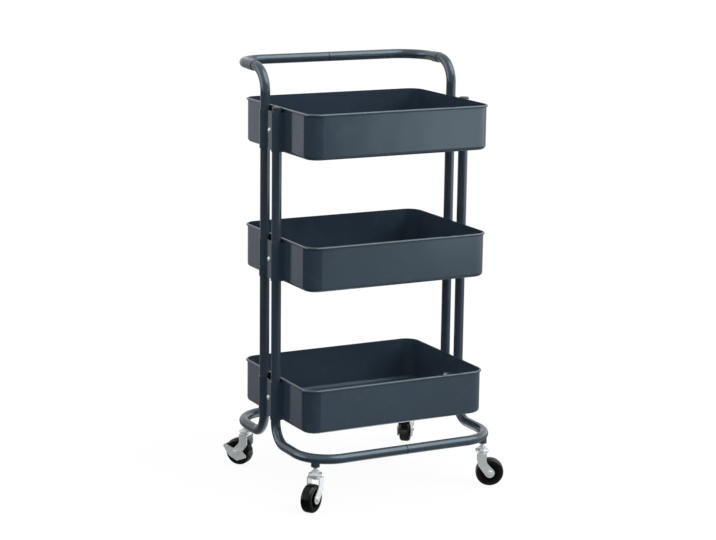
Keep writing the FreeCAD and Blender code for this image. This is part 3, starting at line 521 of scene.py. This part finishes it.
def cross_screw_maker():
    """Domed screws with a cross recess, one at each spot, headed away from the cart's middle."""
    sizes = (
        "head radius", "head height", "shank radius", "shank length",
        "recess length", "recess width", "recess depth",
    )
    maker = Maker("cross_screw", sizes)
    radius, height, shank, length, recess, slit, depth = map(maker.size, sizes)

    def block(x, y, z, rise):
        cube = maker.node("GeometryNodeMeshCube", {}, {"Size": maker.vector(x, y, z)})
        return maker.lifted(cube, rise)

    ball = maker.node("GeometryNodeMeshUVSphere", {}, {
        "Segments": HEAD_SEGMENTS, "Rings": HEAD_RINGS, "Radius": 1.0,
    })
    bulge = maker.node("GeometryNodeTransform", {}, {
        "Geometry": ball, "Scale": maker.vector(radius, radius, height),
    })
    ample = radius * 4
    dome = maker.node("GeometryNodeMeshBoolean", {"operation": "INTERSECT"}, {
        "Mesh 2": [bulge, block(ample, ample, height * 2, height)],
    })
    # The second cut is a little shallower, so that the two floors don't coincide
    cuts = [
        block(recess, slit, depth * 2, height),
        block(slit, recess, depth * 1.9, height),
    ]
    head = maker.node("GeometryNodeMeshBoolean", {"operation": "DIFFERENCE"}, {
        "Mesh 1": dome, "Mesh 2": cuts,
    })
    rod = maker.node("GeometryNodeMeshCylinder", {}, {
        "Vertices": SHANK_SIDES, "Radius": shank, "Depth": length,
    })
    screw = maker.joined(head, maker.lifted(rod, length * -0.5))
    side = maker.maths("SIGN", maker.axis(maker.node("GeometryNodeInputPosition"), "X"))
    copies = maker.node("GeometryNodeInstanceOnPoints", {}, {
        "Points": maker.size("Spots"), "Instance": screw,
        "Rotation": maker.vector(0.0, side * (math.pi / 2), 0.0),
    })
    maker.close(copies)
    return maker


def dress_screws():
    """Puts cross-recess screws in place of the plain ones at the six clamps."""
    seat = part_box("clamp_screws")[1].x - SCREW_HEAD_HEIGHT
    spots = []
    for tier in TIERS:
        bottom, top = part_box(tier + "_clamp_left")
        spots += [(side * seat, 0.0, (bottom.z + top.z) / 2) for side in (-1, 1)]
    screws = cross_screw_maker().piece(
        "cross_screws", FINISHES["zinc_plate"], spots,
        head_radius=SCREW_HEAD_RADIUS, head_height=SCREW_HEAD_HEIGHT,
        shank_radius=SCREW_SHANK_RADIUS, shank_length=SCREW_SHANK_LENGTH,
        recess_length=RECESS_LENGTH, recess_width=RECESS_WIDTH, recess_depth=RECESS_DEPTH,
    )
    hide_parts("clamp_screws")
    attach(screws, CART)


def stem_thread_maker():
    """A coiled ridge at each spot: the thread on the bare part of a caster's stem."""
    sizes = ("radius", "ridge", "pitch", "length")
    maker = Maker("stem_thread", sizes)
    radius, ridge, pitch, length = map(maker.size, sizes)
    coil = maker.node("GeometryNodeCurveSpiral", {}, {
        "Resolution": THREAD_STEPS, "Rotations": length / pitch,
        "Start Radius": radius, "End Radius": radius, "Height": length,
    })
    section = maker.node("GeometryNodeCurvePrimitiveCircle", {}, {
        "Resolution": RIDGE_SIDES, "Radius": ridge,
    })
    copies = maker.node("GeometryNodeInstanceOnPoints", {}, {
        "Points": maker.size("Spots"), "Instance": maker.swept(coil, section, capped=True),
    })
    maker.close(copies)
    return maker


def dress_stems():
    """Winds a thread round each stem, from its hexagon up to the socket."""
    spots = []
    for place in CORNERS:
        low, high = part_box("caster_socket_" + place)
        middle = (low + high) / 2
        spots.append((middle.x, middle.y, low.z - THREAD_LENGTH))
    threads = stem_thread_maker().piece(
        "stem_threads", FINISHES["zinc_plate"], spots, radius=THREAD_RADIUS, ridge=THREAD_RIDGE,
        pitch=THREAD_PITCH, length=THREAD_LENGTH,
    )
    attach(threads, CART)


dress_floors()
dress_screws()
dress_stems()


# Studio: a level of 1 is white, and a lamp's spread is in degrees

WHITE = (1.0, 1.0, 1.0, 1.0)
AMBIENT = 0.8
KEY_TOWARD = (-0.75, 0.85, -0.7)
KEY_STRENGTH = 1.2
KEY_SPREAD = 34.0
GLEAM_TOWARD = (-0.425, 0.482, -0.766)
GLEAM_STRENGTH = 2.4
GLEAM_SPREAD = 60.0

# What a gloss sees of the walls, by the x, y and z of the way it looks
WALL_LEVEL = 0.85
RIGHT_LIGHT = 0.8
LEFT_LIGHT = 2.2
FRONT_SHADE = 0.4
WALL_TOP_BY_Z = ((0.3, 1.0), (0.75, 0.0))
RIGHT_BY_X = ((0.7, 0.0), (0.9, 1.0))
LEFT_BY_Y_LESS_X = ((0.857, 0.0), (1.071, 1.0))
LEFT_END_BY_Y = ((0.55, 1.0), (0.8, 0.0))
FRONT_BY_Y = ((-0.7, 1.0), (-0.3, 0.0))

# The floor, and the card just above it that only glosses see
FLOOR_SIZE = 60.0
FLOOR_WHITE = 0.1
FLOOR_LIFT = 0.92
FLOOR_BOUNCE = 0.15
CARD_HEIGHT = 0.002
CARD_WHITE = 1.8

# The card's tones, by metres from the cart's middle
FRONT_TONES = ((0.4, 0.3), (0.8, 0.08), (1.28, 0.08), (2.4, 0.36), (3.8, 0.85))
SIDE_TONES = ((0.4, 0.12), (0.92, 0.2), (2.4, 0.26), (3.8, 0.34))
UNDER_TONES = ((0.15, 0.9), (0.25, 0.0))
DARK_SHARE = 0.05

# Where the tones begin: lines on the floor from the trays' front and left end, in the direction
# in which these faces reflect the camera's sight, and how far past a line they are full
FRONT_FACE = 0.15
FRONT_SLOPE = 0.524
LEFT_FACE = 0.2
LEFT_SLOPE = 1.905
RIGHT_OF_LINE = ((-0.14, 0.0), (0.0, 0.4), (0.22, 1.0))
LEFT_OF_LINE = ((-0.4, 0.0), (-0.12, 1.0))
BEFORE_BY_Y = ((-0.3, 1.0), (0.3, 0.0))


def photo_camera():
    camera = bpy.data.objects.new("photo_camera", bpy.data.cameras.new("photo_camera"))
    camera.data.sensor_fit = "HORIZONTAL"
    camera.data.sensor_width = SENSOR_WIDTH
    camera.data.lens = FOCAL_PIXELS * SENSOR_WIDTH / IMAGE_WIDTH
    level = math.cos(CAMERA_PITCH)
    forward = Vector((
        math.sin(CAMERA_YAW) * level, math.cos(CAMERA_YAW) * level, math.sin(CAMERA_PITCH),
    ))
    right = Vector((math.cos(CAMERA_YAW), -math.sin(CAMERA_YAW), 0.0))
    up = right.cross(forward)
    tilted = right * math.cos(CAMERA_ROLL) + up * math.sin(CAMERA_ROLL)
    upright = up * math.cos(CAMERA_ROLL) - right * math.sin(CAMERA_ROLL)
    turn = Matrix((tilted, upright, -forward)).transposed().to_4x4()
    camera.matrix_world = Matrix.Translation(CAMERA_SPOT) @ turn
    scene.collection.objects.link(camera)
    scene.camera = camera


def ray_kinds(board, *kinds):
    """For each kind of ray, 1 for what a ray of that kind sees and 0 for the rest."""
    return [board.node("ShaderNodeLightPath", output="Is " + kind + " Ray") for kind in kinds]


def studio_walls(board):
    """What a gloss sees of the studio: two bright side walls and a dim front."""
    toward = board.node("ShaderNodeTexCoord", output="Generated")
    x, y, z = [board.axis(toward, name) for name in "XYZ"]
    right = board.ramp(x, RIGHT_BY_X)
    left = board.ramp(y - x, LEFT_BY_Y_LESS_X) * board.ramp(y, LEFT_END_BY_Y)
    front = board.ramp(y, FRONT_BY_Y)
    low = board.ramp(z, WALL_TOP_BY_Z)
    return WALL_LEVEL + low * (right * RIGHT_LIGHT + left * LEFT_LIGHT - front * FRONT_SHADE)


def studio_world():
    """White for the camera, even light for what is matt, and walls for a gloss."""
    world = bpy.data.worlds.new("white_studio")
    scene.world = world
    world.use_nodes = True
    world.node_tree.nodes.clear()
    board = Board(world.node_tree)
    camera, gloss = ray_kinds(board, "Camera", "Glossy")
    level = AMBIENT + camera * (1.0 - AMBIENT) + gloss * (studio_walls(board) - AMBIENT)
    light = board.node("ShaderNodeBackground", {}, {"Color": WHITE, "Strength": level})
    board.node("ShaderNodeOutputWorld", {}, {"Surface": light})


def flat_sheet(name, height):
    """A level square of the floor's size."""
    mesh = bpy.data.meshes.new(name)
    form = bmesh.new()
    bmesh.ops.create_grid(form, x_segments=1, y_segments=1, size=FLOOR_SIZE / 2)
    bmesh.ops.translate(form, verts=form.verts, vec=(0.0, 0.0, height))
    form.to_mesh(mesh)
    form.free()
    sheet = bpy.data.objects.new(name, mesh)
    scene.collection.objects.link(sheet)
    return sheet


def studio_floor():
    """White paper that looks lit all over, but throws little light up on the cart."""
    floor = flat_sheet("studio_floor", 0.0)
    paper = Finish("white_paper")
    rays = ray_kinds(paper, "Camera", "Glossy", "Transmission")
    seen = paper.maths("MINIMUM", sum(rays), 1.0)
    matt = paper.node("ShaderNodeBsdfDiffuse", {}, {"Color": rgba((FLOOR_WHITE,) * 3)})
    glow = paper.node("ShaderNodeEmission", {}, {
        "Color": WHITE, "Strength": FLOOR_BOUNCE + seen * (FLOOR_LIFT - FLOOR_BOUNCE),
    })
    both = paper.node("ShaderNodeAddShader", {}, {0: matt, 1: glow})
    floor.data.materials.append(paper.close(both))


def reflection_card():
    """A card round the cart that gives the enamel its dark and light bands."""
    card = flat_sheet("reflection_card", CARD_HEIGHT)
    tone = Finish("card_tones")
    x, y = [tone.axis(tone.place, name) for name in "XY"]
    away = tone.maths("SQRT", x * x + y * y)
    past_front = x + (y + FRONT_FACE) * FRONT_SLOPE
    past_left = y + (x + LEFT_FACE) * LEFT_SLOPE
    right = tone.ramp(past_front, RIGHT_OF_LINE) * tone.ramp(y, BEFORE_BY_Y)
    left = tone.ramp(past_left, LEFT_OF_LINE)
    front = tone.ramp(away, FRONT_TONES) * (DARK_SHARE + right * (1.0 - DARK_SHARE))
    lit = tone.maths("MAXIMUM", front, tone.ramp(away, SIDE_TONES) * left)
    level = lit + tone.ramp(away, UNDER_TONES)
    glow = tone.node("ShaderNodeEmission", {}, {"Color": level, "Strength": CARD_WHITE})
    card.data.materials.append(tone.close(glow))
    card.visible_camera = False
    card.visible_diffuse = False
    card.visible_shadow = False
    card.visible_transmission = False


def soft_sun(name, toward, strength, spread):
    lamp = bpy.data.objects.new(name, bpy.data.lights.new(name, "SUN"))
    lamp.data.energy = strength
    lamp.data.angle = math.radians(spread)
    lamp.rotation_euler = Vector(toward).to_track_quat("-Z", "Y").to_euler()
    scene.collection.objects.link(lamp)
    return lamp


photo_camera()
studio_world()
studio_floor()
reflection_card()
key = soft_sun("soft_key", KEY_TOWARD, KEY_STRENGTH, KEY_SPREAD)
key.visible_glossy = False
gleam = soft_sun("soft_gleam", GLEAM_TOWARD, GLEAM_STRENGTH, GLEAM_SPREAD)
gleam.visible_diffuse = False
scene.view_settings.view_transform = "Standard"
